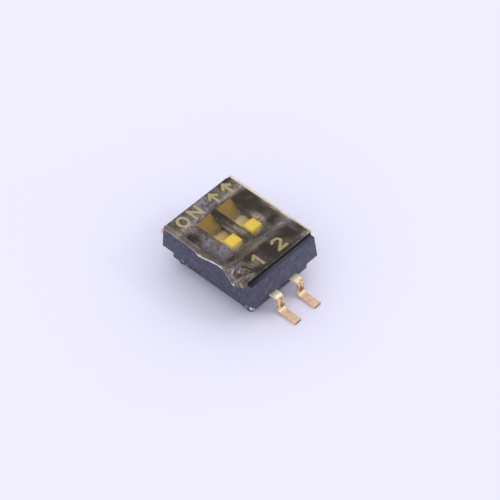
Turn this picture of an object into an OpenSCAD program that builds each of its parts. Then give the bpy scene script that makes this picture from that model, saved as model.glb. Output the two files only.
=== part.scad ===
// Surface-mount slide DIP switch: a moulded base with leads cast into it, a moulded cover, one slider and
// one sprung contact for each position, and a thin sealing tape over the windows.
// X runs along the row of positions, +Y points to the ON side, and Z is the height above the board.

/* [Switch] */
// Number of switch positions
positions = 2; // [1:1:8]
// Distance between neighbouring positions, and between neighbouring leads
pitch = 1.27; // [1.22:0.01:2.54]
// How far a slider moves from off to on
travel = 0.75; // [0.5:0.05:0.9]

/* [Housing] */
// Distance from the last slider's centre line to the end of the housing
end_margin = 1.45; // [1.3:0.05:3]
// Depth of the housing at its parting line, from one lead side to the other
body_depth = 5.4; // [5.2:0.1:7]
// Height of the parting line between the base and the cover above the board
parting_height = 1.2; // [1.1:0.05:1.4]
// Height of the cover, from the parting line to its top
cover_rise = 1.3; // [1.2:0.05:2.5]
// Height of the base's underside above the board
underside_height = 0.36; // [0.2:0.02:0.6]

/* [Base] */
// Height of the straight band just under the parting line
ridge_height = 0.06; // [0.02:0.02:0.1]
// How far the base steps in below that band
undercut = 0.275; // [0.1:0.025:0.4]
// Height over which it steps in
undercut_height = 0.44; // [0.3:0.02:0.5]
// Bevel round the base's bottom edge
bottom_bevel = 0.07; // [0.02:0.01:0.15]
// How much of each side the bevels on its four upright corners take, below that band
corner_bevel = 0.1; // [0.05:0.05:0.4]
// Diameter of the four standoffs
standoff_d = 0.36; // [0.3:0.02:0.6]
// Gap between a standoff and the board
standoff_gap = 0.08; // [0.02:0.01:0.12]
// Distance between a standoff and the base's stepped-in end
standoff_end_inset = 0.16; // [0.02:0.01:0.3]
// Distance between a standoff and the base's stepped-in lead side
standoff_side_inset = 0.22; // [0.02:0.01:0.3]
// How far the base's tongues stand up into the cover
tongue_height = 0.15; // [0.08:0.01:0.2]
// Diameter of the locating pegs in the base's ends
peg_d = 0.4; // [0.3:0.05:0.5]
// Height of the locating pegs
peg_height = 0.45; // [0.3:0.05:0.6]
// Distance between the two locating pegs of one end
peg_spacing = 2.6; // [1.6:0.1:3.2]
// Diameter of the round gate recess in the underside
gate_d = 0.9; // [0.5:0.1:1.2]
// Depth of that recess
gate_depth = 0.08; // [0.04:0.02:0.12]

/* [Cover] */
// How far the off side draws in between the parting line and the top
off_inset = 0.17; // [0.05:0.01:0.25]
// How far the ON side draws in between the parting line and the top
on_inset = 0.03; // [0.02:0.01:0.25]
// How far the ends draw in between the parting line and the top
end_inset = 0.08; // [0.02:0.01:0.12]
// Thickness of the lead side walls at the parting line
side_wall = 0.42; // [0.35:0.01:0.6]
// Thickness of the top wall
top_wall = 0.5; // [0.4:0.02:0.6]
// Thickness of the wall between neighbouring cells
cell_wall = 0.2; // [0.15:0.01:0.24]
// Width of the step along both long top edges
step_width = 0.17; // [0.06:0.01:0.22]
// Depth of that step
step_depth = 0.2; // [0.1:0.02:0.3]
// Width of a window
window_w = 0.92; // [0.76:0.02:0.94]
// Length of the ramp at a window's ON end
on_ramp = 0.68; // [0.4:0.01:0.8]
// Length of the ramp at a window's off end
off_ramp = 0.27; // [0.1:0.01:0.5]

/* [Sliders] */
// Width of a slider's nub
nub_w = 0.7; // [0.4:0.02:0.74]
// Length of a slider's nub along its travel
nub_len = 0.57; // [0.4:0.01:0.7]
// How far the nub's top lies below the cover's top
nub_recess = 0.04; // [0.02:0.01:0.1]
// Distance from the slider's middle to the nub's middle, towards ON
nub_offset = 0.22; // [0.1:0.02:0.4]
// Bevel round the nub's top
nub_bevel = 0.05; // [0.02:0.01:0.08]
// Thickness of the slider's deck above its contact
deck_thickness = 0.2; // [0.15:0.01:0.25]
// How far the deck's ends lie below the pad that the nub stands on
pad_rise = 0.08; // [0.04:0.01:0.1]
// How far that pad reaches past the nub, towards ON
pad_on_reach = 0.64; // [0.4:0.02:0.8]
// How far it reaches past the nub, towards off
pad_off_reach = 0.14; // [0.06:0.02:0.4]

/* [Leads] */
// Width of a lead
lead_w = 0.4; // [0.3:0.02:0.45]
// Thickness of a lead
lead_t = 0.15; // [0.12:0.01:0.2]
// Height of a lead's centre line where it leaves the housing
exit_height = 0.86; // [0.8:0.01:0.95]
// Distance between the lead tips on the two sides
lead_span = 8.1; // [7.7:0.1:9.5]
// Length of the flat solder foot
foot_len = 0.82; // [0.6:0.02:1]
// How far a lead runs straight out past the parting line's edge
shoulder_len = 0.08; // [0.05:0.01:0.2]
// Inner radius of a lead's bends
lead_bend = 0.12; // [0.05:0.01:0.12]
// Width of the anchor wings that hold a lead in the base
anchor_w = 0.62; // [0.5:0.02:0.7]
// Length of the anchor wings
anchor_len = 0.16; // [0.1:0.02:0.2]

/* [Moving contacts] */
// Width of a moving contact
contact_w = 0.5; // [0.4:0.02:0.56]
// Thickness of its sheet
contact_t = 0.06; // [0.04:0.01:0.08]
// Distance from its middle to each contact point
contact_reach = 1.15; // [1:0.05:1.3]
// Half length of its flat middle
contact_flat = 0.3; // [0.25:0.01:0.4]
// Inner radius of its bends
contact_bend = 0.09; // [0.05:0.01:0.12]
// Angle at which its tips turn up
tip_angle = 50; // [30:5:70]
// Width of the slit that splits each arm into two fingers
finger_slit = 0.12; // [0.08:0.01:0.16]
// Diameter of the slider's rivet through its middle
rivet_d = 0.22; // [0.16:0.01:0.24]

/* [Sealing tape] */
// Thickness of the tape
tape_t = 0.07; // [0.04:0.01:0.1]
// How far the tape reaches past the cover's last end
tape_end_overhang = 0.08; // [0.01:0.01:0.15]
// How far it reaches over the step on the ON side
tape_on_overhang = 0.02; // [0.01:0.01:0.15]
// How far it reaches over the step on the off side
tape_off_overhang = 0.06; // [0.01:0.01:0.1]
// Gap between its loose corner and the cover's first end
flap_gap = 0.07; // [0.02:0.01:0.12]
// How far its loose corner hangs down over the first end
flap_drop = 0.55; // [0.3:0.05:0.7]
// Length of that loose corner, from the off side
flap_len = 1.45; // [1:0.05:2.5]

/* [Clearances] */
// Gap round a slider in its cell
slider_gap = 0.03; // [0.02:0.01:0.04]
// Gap left at both ends of the travel
end_gap = 0.05; // [0.03:0.01:0.08]
// Gap between the base's tongues or pegs and the cover
joint_gap = 0.02; // [0.01:0.01:0.03]
// Gap between a contact point and the surface that it slides over
contact_gap = 0.02; // [0.01:0.01:0.04]
// Gap beside a moving contact in its pocket and in its well
pocket_gap = 0.06; // [0.04:0.01:0.08]

/* [Hidden] */
// Exact circles and bends
$fn = 32;
// Angle between neighbouring points of a bend
step_angle = 10;
// How far a cut runs past the face that it opens
over = 0.3;
// How far a contact point may slide past the inner end of its pad
pad_margin = 0.2;

// The housing's outline
half_len = (positions - 1) * pitch / 2 + end_margin;
half_depth = body_depth / 2;
cover_height = parting_height + cover_rise;
top_half_len = half_len - end_inset;
step_height = cover_height - step_depth;
off_plateau = half_depth - off_inset - step_width;
on_plateau = half_depth - on_inset - step_width;
// Where the tape's loose edge hangs, clear of the leaning end
flap_x = top_half_len + end_inset * flap_drop / cover_rise + flap_gap + tape_t / 2;

// Cells, one for each position
cell_w = pitch - cell_wall;
cell_half_len = half_depth - side_wall;
ceiling_height = cover_height - top_wall;
tongue_top = parting_height + tongue_height;
floor_height = exit_height + lead_t / 2;

// Sliders, drawn in the middle of their travel and then moved to off
slider_half_len = cell_half_len - travel / 2 - end_gap;
slider_w = cell_w - 2 * slider_gap;
deck_top = ceiling_height - slider_gap;
seat_height = deck_top - deck_thickness;
slider_bottom = tongue_top + slider_gap;
nub_top = cover_height - nub_recess;
window_half = travel / 2 + nub_len / 2 + end_gap;
window_off_end = nub_offset - window_half;
window_on_end = nub_offset + window_half;

// Moving contacts
pocket_w = contact_w + 2 * pocket_gap;
contact_radius = contact_bend + contact_t / 2;
contact_drop = seat_height - floor_height - contact_gap - contact_t;
tip_len = contact_bend + contact_t;
contact_half_len = contact_reach + tip_len + contact_radius;
pocket_half_len = contact_half_len + pocket_gap;
well_half_len = contact_half_len + travel / 2 + pocket_gap;

// Leads
foot_start = lead_span / 2 - foot_len;
shoulder_end = half_depth + shoulder_len;
lead_radius = lead_bend + lead_t / 2;
closed_pad_end = contact_reach - travel / 2 - pad_margin;
open_pad_end = contact_reach;
anchor_middle = (well_half_len + half_depth - undercut) / 2;

BLACK = [0.16, 0.16, 0.19];
GOLD = [0.88, 0.7, 0.4];
CREAM = [0.95, 0.88, 0.62];
AMBER = [0.5, 0.36, 0.12, 0.6];

// Where position i lies along the row
function position_x(i) = (i - (positions + 1) / 2) * pitch;

// Angle of the sloped stretch of a strip that steps down by drop over run between two equal bends
function slope_angle(run, drop, radius) =
    atan2(drop - 2 * radius, run) + asin(2 * radius / norm([run, drop - 2 * radius]));
// Length of that sloped stretch
function slope_len(run, drop, radius) =
    sqrt(pow(run, 2) + pow(drop - 2 * radius, 2) - pow(2 * radius, 2));

// Points and headings of a strip's centre line: each step is a straight length and then a turn
function centre_line(steps, radius, at, i = 0) =
    i == len(steps)
        ? [at]
        : let (
            turn = steps[i][1],
            side = sign(turn),
            corner = [at[0] + steps[i][0] * cos(at[2]), at[1] + steps[i][0] * sin(at[2]), at[2]],
            pivot = [corner[0] - side * radius * sin(corner[2]), corner[1] + side * radius * cos(corner[2])],
            count = ceil(abs(turn) / step_angle),
            bend = [
                for (k = [0 : 1 : count])
                    let (heading = corner[2] + turn * k / max(count, 1))
                    concat(pivot + side * radius * [sin(heading), -cos(heading)], [heading])
            ],
            last = count > 0 ? bend[count] : corner,
            before = count > 0 ? [for (k = [0 : 1 : count - 1]) bend[k]] : []
        )
        concat([at], before, centre_line(steps, radius, last, i + 1));

// Outline of a strip of the given thickness along such a line
function strip_outline(line, thickness) = concat(
    [for (p = line) [p[0] - sin(p[2]) * thickness / 2, p[1] + cos(p[2]) * thickness / 2]],
    [for (k = [len(line) - 1 : -1 : 0]) let (p = line[k])
        [p[0] + sin(p[2]) * thickness / 2, p[1] - cos(p[2]) * thickness / 2]]
);

// Extrudes an outline in Y and Z across X
module across(width) {
    rotate([90, 0, 90]) translate([0, 0, -width / 2]) linear_extrude(width) children();
}

// Extrudes an outline in X and Z along Y
module along(depth) {
    rotate([90, 0, 0]) translate([0, 0, -depth / 2]) linear_extrude(depth) children();
}

// A box given by its middle in plan, its plan size and its two heights
module block(x, y, size_x, size_y, low, high) {
    translate([x - size_x / 2, y - size_y / 2, low]) cube([size_x, size_y, high - low]);
}

// Section of the base below its tongues, for either half width
module base_section(half) {
    inner = half - undercut;
    band = parting_height - ridge_height;
    polygon([
        [-inner + bottom_bevel, underside_height], [inner - bottom_bevel, underside_height],
        [inner, underside_height + bottom_bevel], [inner, band - undercut_height],
        [half, band], [half, parting_height], [-half, parting_height], [-half, band],
        [-inner, band - undercut_height], [-inner, underside_height + bottom_bevel]
    ]);
}

// Section across one diagonal of the base, which bevels its upright corners below the band
module corner_section() {
    inner = (half_len + half_depth - 2 * undercut - corner_bevel) / sqrt(2);
    outer = (half_len + half_depth) / sqrt(2) + over;
    step_end = parting_height - ridge_height - undercut_height;
    polygon([
        [-inner, underside_height - over], [inner, underside_height - over], [inner, step_end],
        [outer, parting_height], [outer, parting_height + over],
        [-outer, parting_height + over], [-outer, parting_height], [-inner, step_end]
    ]);
}

// The two locating pegs, or their sockets, in each end
module pegs(diameter, height) {
    peg_x = (half_len + (positions - 1) * pitch / 2 + cell_w / 2) / 2;
    for (x = [-peg_x, peg_x], y = [-peg_spacing / 2, peg_spacing / 2])
        translate([x, y, parting_height - ridge_height]) cylinder(d = diameter, h = height + ridge_height);
}

module standoffs() {
    x = half_len - undercut - standoff_end_inset - standoff_d / 2;
    y = half_depth - undercut - standoff_side_inset - standoff_d / 2;
    height = underside_height - standoff_gap + bottom_bevel;
    for (sx = [-x, x], sy = [-y, y])
        translate([sx, sy, standoff_gap]) cylinder(d = standoff_d, h = height);
}

// Inner, flat stretch of one lead with its anchor wings, pointing to +Y
module lead_tail(pad_end) {
    y_end = half_depth;
    low = exit_height - lead_t / 2;
    block(0, (pad_end + y_end) / 2, lead_w, y_end - pad_end, low, floor_height);
    block(0, anchor_middle, anchor_w, anchor_len, low, floor_height);
}

// One whole lead, pointing to +Y: pad, anchor, shoulder, leg and solder foot
module lead(pad_end) {
    run = foot_start - shoulder_end;
    drop = exit_height - lead_t / 2;
    angle = slope_angle(run, drop, lead_radius);
    path = centre_line(
        [[shoulder_end - pad_end, -angle], [slope_len(run, drop, lead_radius), angle], [foot_len, 0]],
        lead_radius, [pad_end, exit_height, 0]
    );
    across(lead_w) polygon(strip_outline(path, lead_t));
    block(0, anchor_middle, anchor_w, anchor_len, exit_height - lead_t / 2, floor_height);
}

// Places a lead-shaped child at terminal i. The first half of the numbers runs along the off side,
// and the rest runs back along the ON side.
module at_terminal(i) {
    x = i <= positions ? position_x(i) : position_x(2 * positions + 1 - i);
    translate([x, 0, 0]) mirror([0, i <= positions ? 1 : 0, 0]) children();
}

// How far from the middle the pad of terminal i begins
function pad_end(i) = i <= positions ? closed_pad_end : open_pad_end;

module base() {
    color(BLACK) difference() {
        union() {
            intersection() {
                across(2 * half_len) base_section(half_depth);
                along(2 * half_depth) base_section(half_len);
                rotate([0, 0, 45]) across(2 * (half_len + half_depth)) corner_section();
                rotate([0, 0, -45]) across(2 * (half_len + half_depth)) corner_section();
            }
            standoffs();
            pegs(peg_d, peg_height);
            for (i = [1 : positions])
                block(position_x(i), 0, cell_w - 2 * joint_gap, 2 * (cell_half_len - joint_gap),
                    parting_height - over, tongue_top);
        }
        for (i = [1 : positions])
            block(position_x(i), 0, pocket_w, 2 * well_half_len, floor_height, tongue_top + over);
        for (i = [1 : 2 * positions])
            at_terminal(i) lead_tail(pad_end(i));
        translate([0, 0, underside_height - over]) cylinder(d = gate_d, h = over + gate_depth);
    }
}

module terminal(i) {
    color(GOLD) at_terminal(i) lead(pad_end(i));
}

// Window through the top wall, with a ramp at each end
module window() {
    across(window_w) polygon([
        [window_off_end, ceiling_height - over], [window_on_end, ceiling_height - over],
        [window_on_end, ceiling_height], [window_on_end + on_ramp, cover_height],
        [window_on_end + on_ramp, cover_height + over], [window_off_end - off_ramp, cover_height + over],
        [window_off_end - off_ramp, cover_height], [window_off_end, ceiling_height]
    ]);
}

module cover() {
    step_share = (step_height - parting_height) / cover_rise;
    color(BLACK) difference() {
        intersection() {
            across(2 * half_len) polygon([
                [-half_depth, parting_height], [half_depth, parting_height],
                [half_depth - on_inset * step_share, step_height],
                [on_plateau, step_height], [on_plateau, cover_height],
                [-off_plateau, cover_height], [-off_plateau, step_height],
                [-half_depth + off_inset * step_share, step_height]
            ]);
            along(2 * half_depth) polygon([
                [-half_len, parting_height], [half_len, parting_height],
                [top_half_len, cover_height], [-top_half_len, cover_height]
            ]);
        }
        for (i = [1 : positions]) {
            block(position_x(i), 0, cell_w, 2 * cell_half_len, parting_height - over, ceiling_height);
            translate([position_x(i), 0, 0]) window();
        }
        pegs(peg_d + 2 * joint_gap, peg_height + joint_gap);
    }
}

// The slider in the middle of its travel, at X = 0
module slider_body() {
    pad_middle = nub_offset + (pad_on_reach - pad_off_reach) / 2;
    pad_len = nub_len + pad_on_reach + pad_off_reach;
    difference() {
        union() {
            block(0, 0, slider_w, 2 * slider_half_len, slider_bottom, deck_top - pad_rise);
            block(0, pad_middle, slider_w, pad_len, slider_bottom, deck_top);
            translate([0, nub_offset, 0]) nub();
        }
        block(0, 0, pocket_w, 2 * pocket_half_len, slider_bottom - over, seat_height);
    }
    rivet();
}

// The nub with its bevelled top, round Y = 0
module nub() {
    intersection() {
        along(nub_len) polygon([
            [-nub_w / 2, deck_top - deck_thickness / 2], [nub_w / 2, deck_top - deck_thickness / 2],
            [nub_w / 2, nub_top - nub_bevel], [nub_w / 2 - nub_bevel, nub_top],
            [-nub_w / 2 + nub_bevel, nub_top], [-nub_w / 2, nub_top - nub_bevel]
        ]);
        across(nub_w) polygon([
            [-nub_len / 2, deck_top - deck_thickness / 2], [nub_len / 2, deck_top - deck_thickness / 2],
            [nub_len / 2, nub_top - nub_bevel], [nub_len / 2 - nub_bevel, nub_top],
            [-nub_len / 2 + nub_bevel, nub_top], [-nub_len / 2, nub_top - nub_bevel]
        ]);
    }
}

// Staked rivet that holds the contact against the slider's deck
module rivet() {
    head = contact_t;
    translate([0, 0, seat_height - contact_t]) cylinder(d = rivet_d, h = contact_t + deck_thickness / 2);
    translate([0, 0, seat_height - contact_t - head]) cylinder(d = rivet_d + 2 * pocket_gap, h = head);
}

module slider(i) {
    color(CREAM) translate([position_x(i), -travel / 2, 0]) slider_body();
}

// Sprung bridge with two arms, each split into two fingers with upturned tips
module moving_contact(i) {
    run = contact_reach - contact_flat;
    angle = slope_angle(run, contact_drop, contact_radius);
    sloped = slope_len(run, contact_drop, contact_radius);
    arm = [
        [contact_flat, -angle],
        [sloped, angle + tip_angle],
        [tip_len, 0]
    ];
    strip = centre_line(arm, contact_radius, [0, seat_height - contact_t / 2, 0]);
    hole_d = rivet_d + 2 * contact_gap;
    color(GOLD) translate([position_x(i), -travel / 2, 0]) difference() {
        union() {
            for (turned = [0, 1])
                mirror([0, turned, 0])
                    across(contact_w) polygon(strip_outline(strip, contact_t));
        }
        translate([0, 0, seat_height - 2 * contact_t]) cylinder(d = hole_d, h = 3 * contact_t);
        for (turned = [0, 1])
            mirror([0, turned, 0])
                block(0, (contact_flat + contact_half_len + over) / 2, finger_slit,
                    contact_half_len + over - contact_flat, floor_height, seat_height + contact_t);
    }
}

// Film over the cover's plateau, with a loose corner that hangs down over the first end
module sealing_tape() {
    on_edge = on_plateau + tape_on_overhang;
    off_edge = -off_plateau - tape_off_overhang;
    last_edge = top_half_len + tape_end_overhang;
    first_edge = -flap_x - tape_t / 2;
    bend_start = -flap_x + tape_t;
    flap_end = off_edge + flap_len;
    low = cover_height - flap_drop;
    steps = [[last_edge + flap_x - tape_t, 90], [flap_drop - tape_t / 2, 0]];
    line = centre_line(steps, tape_t, [last_edge, cover_height + tape_t / 2, 180]);
    color(AMBER) {
        block((last_edge + bend_start) / 2, (on_edge + off_edge) / 2, last_edge - bend_start,
            on_edge - off_edge, cover_height, cover_height + tape_t);
        block((last_edge + first_edge) / 2, (on_edge + flap_end - tape_t) / 2, last_edge - first_edge,
            on_edge - flap_end + tape_t, cover_height, cover_height + tape_t);
        intersection() {
            translate([0, off_edge + flap_len / 2, 0]) along(flap_len) polygon(strip_outline(line, tape_t));
            across(2 * (flap_x + tape_t)) polygon([
                [off_edge, cover_height - flap_drop / 2], [off_edge + 0.25 * flap_len, low],
                [off_edge + 0.65 * flap_len, low], [flap_end, cover_height],
                [flap_end, cover_height + 2 * tape_t], [off_edge, cover_height + 2 * tape_t]
            ]);
        }
    }
}

base();
cover();
sealing_tape();
for (i = [1 : 2 * positions])
    terminal(i);
for (i = [1 : positions])
    slider(i);
for (i = [1 : positions])
    moving_contact(i);
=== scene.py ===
"""Looks of a slide DIP switch: moulded housing, plated leads, cream sliders, print and sealing film."""

from math import cos, pi, radians, sin

import bmesh
import bpy
import numpy as np
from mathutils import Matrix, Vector, noise


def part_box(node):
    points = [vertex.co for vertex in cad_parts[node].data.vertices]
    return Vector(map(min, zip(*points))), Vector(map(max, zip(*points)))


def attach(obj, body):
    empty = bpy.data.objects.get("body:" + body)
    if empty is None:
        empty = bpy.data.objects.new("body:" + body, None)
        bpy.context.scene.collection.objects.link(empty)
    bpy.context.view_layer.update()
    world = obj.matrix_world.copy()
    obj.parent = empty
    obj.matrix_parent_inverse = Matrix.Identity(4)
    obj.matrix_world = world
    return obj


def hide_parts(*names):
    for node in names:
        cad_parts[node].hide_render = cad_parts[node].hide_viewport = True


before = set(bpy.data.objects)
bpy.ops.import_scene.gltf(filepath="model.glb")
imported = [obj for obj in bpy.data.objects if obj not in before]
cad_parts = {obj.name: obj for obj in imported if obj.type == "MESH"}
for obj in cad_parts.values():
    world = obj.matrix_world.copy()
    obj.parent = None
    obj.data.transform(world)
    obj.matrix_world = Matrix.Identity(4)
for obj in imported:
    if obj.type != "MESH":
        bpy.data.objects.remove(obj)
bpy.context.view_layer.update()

# Lengths are millimetres where nothing else is said
MM = 0.001
HOUSING = "housing"
# Distance between neighbouring leads
PITCH = 1.27
SLIDERS = sorted(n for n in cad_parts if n.startswith("slider_"))
TERMINALS = sorted(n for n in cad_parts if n.startswith("terminal_"))
CONTACTS = sorted(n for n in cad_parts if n.startswith("moving_contact_"))

# The photo's view, worked out from the housing's corners and the leads
PHOTO_SIDE = 500
PHOTO_SCALE = 22.96
COVER_TOP_PIXEL = (239.7, 229.5)
CAMERA_AZIMUTH = radians(-47.2)
CAMERA_ELEVATION = radians(48.2)
CAMERA_DISTANCE = 111.0
# The nearest thing seen is at this share of the camera's distance, and the farthest this many metres off
CLIP_NEAR = 0.1
CLIP_FAR = 10


def box_mm(node):
    """Lowest and highest corners of a CAD node, in millimetres."""
    low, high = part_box(node)
    return Vector(low) / MM, Vector(high) / MM


TAPE_LOW, TAPE_HIGH = box_mm("sealing_tape")
# The cover's top face, the place along the row where it starts, and a height just below its step's floor
TOP = box_mm("cover")[1].z
TOP_START_X = -2.005
STEP_HEIGHT = TOP - 0.21
# The off side's step lies past the first of these places, and the ON side's ramps past the second
OFF_STEP_Y = -2.3
ON_RAMP_Y = 0.9


def direction(azimuth, elevation):
    """Unit vector from the object towards a camera or lamp at these angles."""
    return Vector((sin(azimuth) * cos(elevation), -cos(azimuth) * cos(elevation), sin(elevation)))


def aim(obj, place, target):
    """Puts a lamp or camera at a place and turns it to look at a target."""
    obj.location = place
    obj.rotation_euler = (target - place).to_track_quat("-Z", "Y").to_euler()


def link(name, data):
    """A new object in the scene."""
    obj = bpy.data.objects.new(name, data)
    bpy.context.scene.collection.objects.link(obj)
    return obj


def make_camera():
    """Long lens at the photo's angle, with the cover's top at its place in the photo."""
    data = bpy.data.cameras.new("camera")
    camera = link("camera", data)
    back = direction(CAMERA_AZIMUTH, CAMERA_ELEVATION)
    right = Vector((cos(CAMERA_AZIMUTH), sin(CAMERA_AZIMUTH), 0))
    up = back.cross(right)
    off_x = (PHOTO_SIDE / 2 - COVER_TOP_PIXEL[0]) / PHOTO_SCALE
    off_y = (PHOTO_SIDE / 2 - COVER_TOP_PIXEL[1]) / PHOTO_SCALE
    target = Vector((0, 0, TOP)) + right * off_x - up * off_y
    aim(camera, (target + back * CAMERA_DISTANCE) * MM, target * MM)
    data.lens = data.sensor_width * CAMERA_DISTANCE * PHOTO_SCALE / PHOTO_SIDE
    data.clip_start = CAMERA_DISTANCE * MM * CLIP_NEAR
    data.clip_end = CLIP_FAR
    bpy.context.scene.camera = camera


class Nodes:
    """Short ways to add and join the nodes of one material or world."""

    def __init__(self, owner):
        owner.use_nodes = True
        self.tree = owner.node_tree
        self.tree.nodes.clear()

    def feed(self, socket, value):
        """Links another socket to this one, or sets a constant on it."""
        if isinstance(value, bpy.types.NodeSocket):
            self.tree.links.new(value, socket)
        else:
            socket.default_value = value

    def add(self, kind, inputs=None, **settings):
        """A node with these settings, and with these links or constants on its inputs."""
        node = self.tree.nodes.new(kind)
        for name, value in settings.items():
            setattr(node, name, value)
        for name, value in (inputs or {}).items():
            self.feed(node.inputs[name], value)
        return node

    def place(self):
        """The point of the surface in the object's own frame."""
        return self.add("ShaderNodeTexCoord").outputs["Object"]

    def axis(self, name):
        """One coordinate of the surface point, in metres."""
        return self.add("ShaderNodeSeparateXYZ", {"Vector": self.place()}).outputs[name]

    def grain(self, size, detail=2.0, rough=0.5, distortion=0.0):
        """Noise whose blobs are about this many millimetres wide."""
        inputs = {"Vector": self.place(), "Scale": 1 / (size * MM), "Detail": detail, "Roughness": rough,
                  "Distortion": distortion}
        return self.add("ShaderNodeTexNoise", inputs).outputs["Fac"]

    def spread(self, value, low, high, to_low=0.0, to_high=1.0):
        """Maps a value from one range to another and stops at its ends."""
        inputs = {"Value": value, "From Min": low, "From Max": high, "To Min": to_low, "To Max": to_high}
        return self.add("ShaderNodeMapRange", inputs).outputs["Result"]

    def along(self, name, start, end, to_start=0.0, to_end=1.0):
        """Goes from one value to another between two places along an axis."""
        return self.spread(self.axis(name), start * MM, end * MM, to_start, to_end)

    def attribute(self, name):
        """A value that the mesh holds at each of its points."""
        return self.add("ShaderNodeAttribute", attribute_name=name).outputs["Fac"]

    def mix(self, factor, first, second):
        """A colour between two others."""
        node = self.add("ShaderNodeMix", data_type="RGBA")
        for socket, value in ((node.inputs[0], factor), (node.inputs[6], first), (node.inputs[7], second)):
            self.feed(socket, value)
        return node.outputs[2]

    def math(self, operation, first, second=0.0):
        """Arithmetic on two values."""
        node = self.add("ShaderNodeMath", operation=operation)
        for socket, value in zip(node.inputs, (first, second)):
            self.feed(socket, value)
        return node.outputs[0]

    def plus(self, first, second):
        """Sum of two values."""
        return self.math("ADD", first, second)

    def times(self, first, second):
        """Product of two values."""
        return self.math("MULTIPLY", first, second)

    def bump(self, height, depth, strength=1.0, normal=None):
        """Bump whose full height is this many millimetres."""
        inputs = {"Height": height, "Distance": depth * MM, "Strength": strength}
        if normal is not None:
            inputs["Normal"] = normal
        return self.add("ShaderNodeBump", inputs).outputs["Normal"]

    def surface(self, shader):
        """Makes a shader the material's surface."""
        self.add("ShaderNodeOutputMaterial", {"Surface": shader.outputs[0]})

    def principled(self, inputs):
        """Makes a Principled shader with these inputs the material's surface."""
        self.surface(self.add("ShaderNodeBsdfPrincipled", inputs))


def new_material(name):
    """An empty material, and the nodes to fill it with."""
    material = bpy.data.materials.new(name)
    return material, Nodes(material)


def rgb(red, green, blue):
    """An opaque colour."""
    return (red, green, blue, 1.0)


# Pale bluish specks, denser towards the board: the heights at which they start and are full
SPECK_HEIGHTS = (0.95, 0.45)
# Painted highlights above the standoffs (x, y, z, radius, strength), and how ragged their edges are
CORNER_HIGHLIGHTS = (
    (-1.81, 1.75, 0.57, 0.10, 0.25), (-1.81, 1.50, 0.50, 0.07, 0.20), (-1.81, -2.06, 0.54, 0.08, 0.35),
    (-1.80, -2.34, 0.57, 0.11, 0.75), (-1.70, -2.43, 0.52, 0.07, 0.60),
)
RAGGED = 5


def black_plastic():
    """Glass-filled black moulding: flow marks, rubbed patches, pale specks denser towards the board and
    painted highlights above the standoffs.
    """
    material, n = new_material("black_plastic")
    flow = n.spread(n.grain(0.9, 6, 0.72, 0.8), 0.34, 0.66)
    base = n.mix(flow, rgb(0.031, 0.032, 0.062), rgb(0.060, 0.056, 0.099))
    rubbed = n.spread(n.grain(0.18, 5, 0.78), 0.51, 0.72)
    colour = n.mix(rubbed, base, rgb(0.125, 0.120, 0.17))
    pale_specks = n.spread(n.grain(0.07, 3, 0.6), 0.59, 0.69, 0.0, 0.52)
    colour = n.mix(n.times(n.along("Z", *SPECK_HEIGHTS), pale_specks), colour, rgb(0.26, 0.26, 0.34))
    ragged = n.spread(n.grain(0.10, 4, 0.7), 0.35, 0.65, -0.09, 0.09)
    # Pale bluish spots painted as highlights above the standoffs
    for x, y, z, radius, strength in CORNER_HIGHLIGHTS:
        middle = (x * MM, y * MM, z * MM)
        far = n.add("ShaderNodeVectorMath", {0: n.place(), 1: middle}, operation="DISTANCE")
        edge = n.plus(n.times(far.outputs["Value"], 1 / (radius * MM)), n.times(ragged, RAGGED))
        highlight_spot = n.spread(edge, 1.0, 0.6, 0.0, strength)
        colour = n.mix(highlight_spot, colour, rgb(0.80, 0.80, 0.90))
    roughness = n.spread(n.grain(0.3, 3, 0.6), 0.3, 0.7, 0.40, 0.58)
    normal = n.bump(n.grain(0.045, 3, 0.6), 0.004, 0.8)
    normal = n.bump(n.grain(0.5, 2), 0.01, 0.5, normal)
    n.principled({"Base Color": colour, "Roughness": roughness, "Normal": normal})
    return material


# The off side's step face is painted nearly black as the film's shadow, and the steps' floors are painted
# paler: the heights at which that starts and is full, and the places along the row between which its light
# grows, leaving the most painted shade at the first end
FLOOR_HEIGHTS = (STEP_HEIGHT + 0.03, STEP_HEIGHT + 0.015)
FLOOR_LIGHT_X = (-1.7, -0.6)


def wetted_and_shaded_plastic():
    """The same moulding under the film's adhesive, which wets it and makes it look deeper, and on the steps
    painted shade for the film's shadow.
    """
    material, n = new_material("wetted_and_shaded_plastic")
    tone = n.spread(n.grain(0.2, 3, 0.6), 0.35, 0.7)
    colour = n.mix(tone, rgb(0.006, 0.006, 0.007), rgb(0.017, 0.016, 0.019))
    # Painted shade on the step's floor, lightest towards the last end
    shadow_lifted = n.times(n.along("Z", *FLOOR_HEIGHTS), n.along("X", *FLOOR_LIGHT_X, 0.35, 1.0))
    colour = n.mix(shadow_lifted, colour, rgb(0.074, 0.074, 0.104))
    normal = n.bump(n.grain(0.06, 2), 0.004, 0.6)
    n.principled({"Base Color": colour, "Roughness": 0.5, "Normal": normal, "Specular IOR Level": 0.12})
    return material


# Each pair has the two places between which one zone of a lead comes in. The leg starts at these distances
# from the middle of the housing, and the others are heights above the board
LEG_START = (2.86, 2.98)
FOOT = (0.34, 0.20)
FOOT_STAINS = (0.30, 0.10)
STREAK_BOTTOM = (0.24, 0.34)
STREAK_TOP = (0.74, 0.50)
BEND_BOTTOM = (0.16, 0.19)
BEND_TOP = (0.34, 0.24)
CUT_END = (0.17, 0.15)
# Distances from a leg's middle at which the dark streak starts and is full
STREAK_SIDE = (0.13, 0.03)
# How far the leg's start and the streak's side wander
LEG_WANDER = 0.06
STREAK_WANDER = 0.12


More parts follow.
